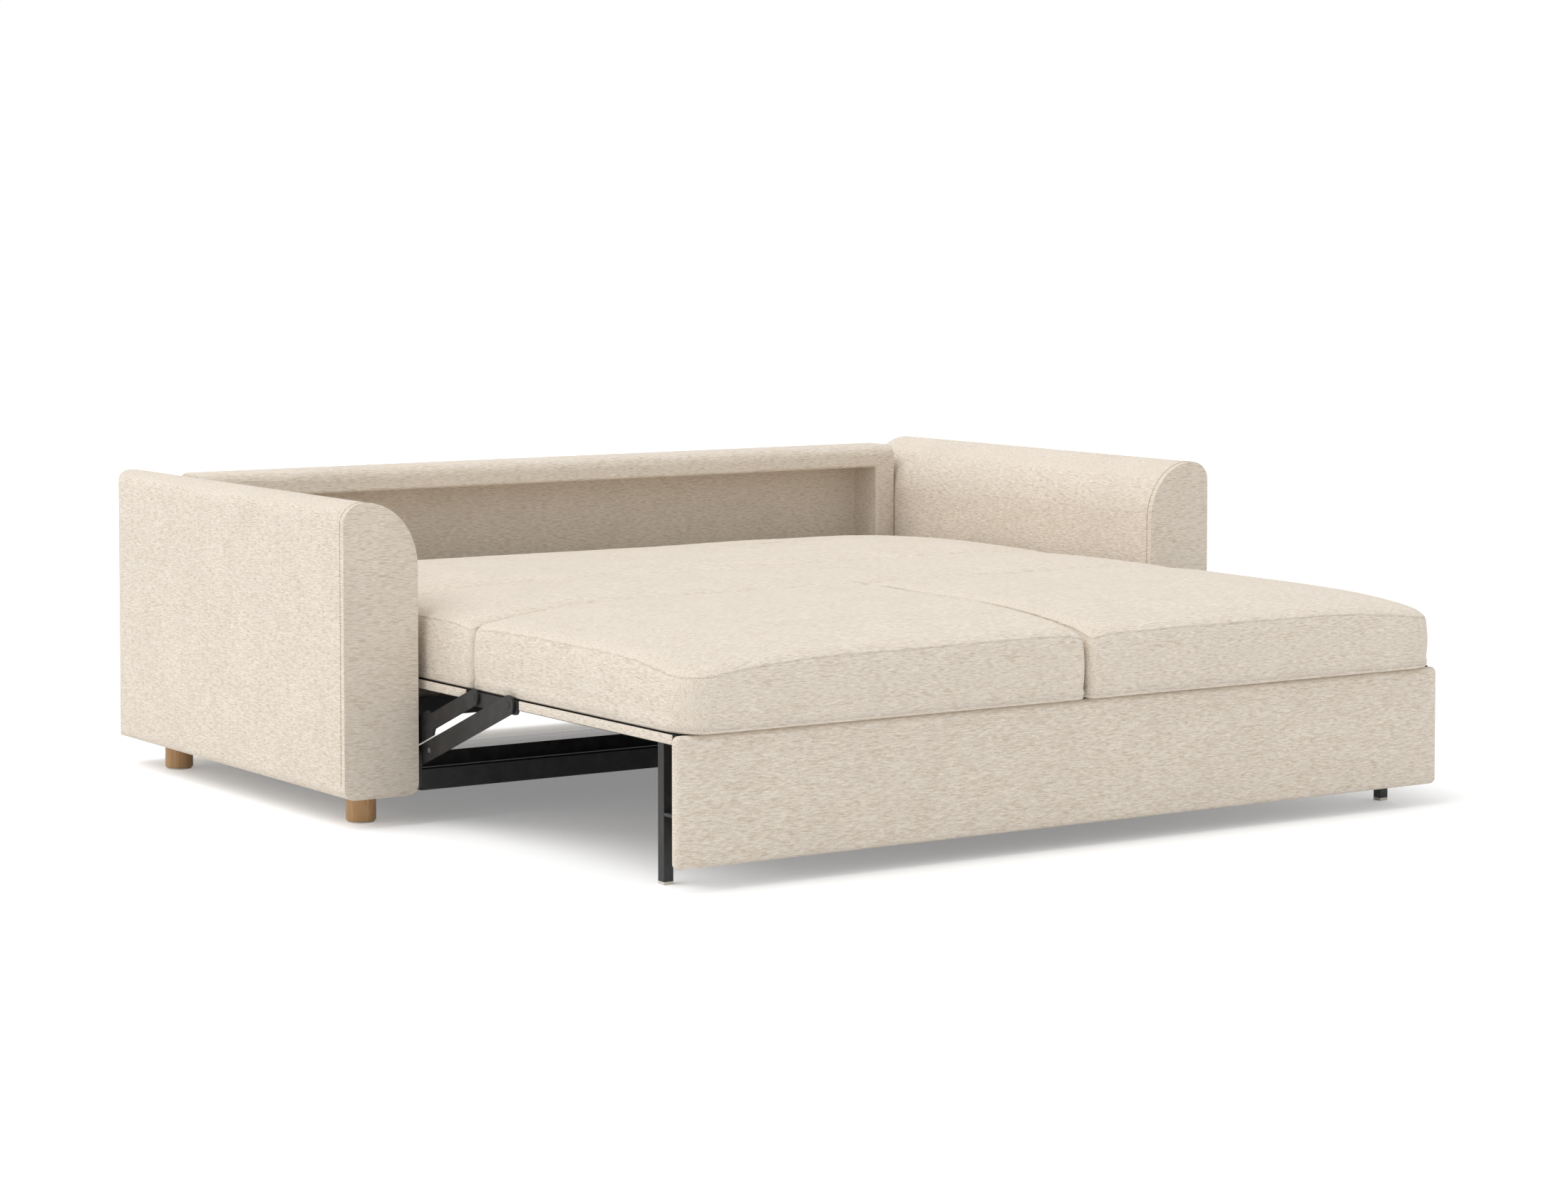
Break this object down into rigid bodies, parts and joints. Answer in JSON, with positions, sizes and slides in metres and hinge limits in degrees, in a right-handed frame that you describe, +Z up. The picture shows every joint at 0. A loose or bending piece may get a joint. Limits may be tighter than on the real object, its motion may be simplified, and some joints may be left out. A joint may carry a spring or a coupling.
{
  "type": "sleeper sofa",
  "caption": "Upholstered sofa with wrapped arms whose front section lifts out on swing links to open into a flat bed, on wooden posts and steel legs.",
  "frame": {"origin": "middle of the open sofa bed's footprint, at floor level", "axes": "+Z up, +X along the sofa, -Y the way the bed pulls out"},
  "size_m": [2.182, 2.065, 0.643],
  "materials": {
    "linen_fabric": "slubbed oatmeal weave, stretched over padding",
    "cushion_fabric": "slubbed oatmeal weave over foam",
    "oak": "oiled",
    "glide": "matt",
    "black_steel": "satin powder coat"
  },
  "bodies": {
    "sofa_base": {"left_arm": "linen_fabric", "right_arm": "linen_fabric", "back_frame": "linen_fabric", "wooden_leg_front_left": "oak", "wooden_leg_front_right": "oak", "wooden_leg_rear_left": "oak", "wooden_leg_rear_right": "oak", "leg_glide_front_left": "glide", "leg_glide_front_right": "glide", "leg_glide_rear_left": "glide", "leg_glide_rear_right": "glide", "left_side_plate": "black_steel", "right_side_plate": "black_steel", "left_rear_plate": "black_steel", "right_rear_plate": "black_steel", "front_cross_bar": "black_steel", "rear_cross_bar": "black_steel"},
    "swing_links": {"left_main_link": "black_steel", "right_main_link": "black_steel", "torsion_tube": "black_steel"},
    "left_control": {"left_control_link": "black_steel"},
    "right_control": {"right_control_link": "black_steel"},
    "front_section": {"front_slat_frame": "black_steel", "front_cushion_left": "cushion_fabric", "front_cushion_right": "cushion_fabric", "front_panel": "linen_fabric", "left_front_bracket": "black_steel", "right_front_bracket": "black_steel", "left_steel_leg": "black_steel", "right_steel_leg": "black_steel", "left_leg_tab": "black_steel", "right_leg_tab": "black_steel", "left_foot": "glide", "right_foot": "glide"},
    "mid_section": {"mid_slat_frame": "black_steel", "mid_cushion": "cushion_fabric", "fold_pin_left": "black_steel", "fold_pin_right": "black_steel"},
    "head_section": {"rear_slat_frame": "black_steel", "rear_cushion": "cushion_fabric", "left_tilt_ear": "black_steel", "right_tilt_ear": "black_steel"}
  },
  "joints": [
    {"name": "bed_fold", "type": "hinge", "parent": "sofa_base", "child": "swing_links", "pos_m": [0, 0.0395, 0.094], "axis": [-1, 0, 0], "range_deg": [0, 136.7]},
    {"name": "seat_level", "type": "hinge", "parent": "swing_links", "child": "front_section", "pos_m": [0, -0.4175, 0.275], "axis": [-1, 0, 0], "range_deg": [-137, 0]},
    {"name": "left_control_swing", "type": "hinge", "parent": "sofa_base", "child": "left_control", "pos_m": [-0.9, 0.1745, 0.094], "axis": [-1, 0, 0], "range_deg": [0, 137]},
    {"name": "right_control_swing", "type": "hinge", "parent": "sofa_base", "child": "right_control", "pos_m": [0.9, 0.1745, 0.094], "axis": [-1, 0, 0], "range_deg": [0, 137]},
    {"name": "mid_fold", "type": "hinge", "parent": "front_section", "child": "mid_section", "pos_m": [0, -0.253, 0.2617], "axis": [-1, 0, 0], "range_deg": [0, 180]},
    {"name": "head_tilt", "type": "hinge", "parent": "sofa_base", "child": "head_section", "pos_m": [0, 0.7125, 0.3], "axis": [-1, 0, 0], "range_deg": [0, 90]}
  ],
  "couplings": [
    {"joint": "seat_level", "follows": "bed_fold", "ratio": -1},
    {"joint": "left_control_swing", "follows": "bed_fold", "ratio": 1},
    {"joint": "right_control_swing", "follows": "bed_fold", "ratio": 1},
    {"joint": "mid_fold", "follows": "bed_fold", "ratio": 1.31},
    {"joint": "head_tilt", "follows": "bed_fold", "ratio": 0.65}
  ]
}
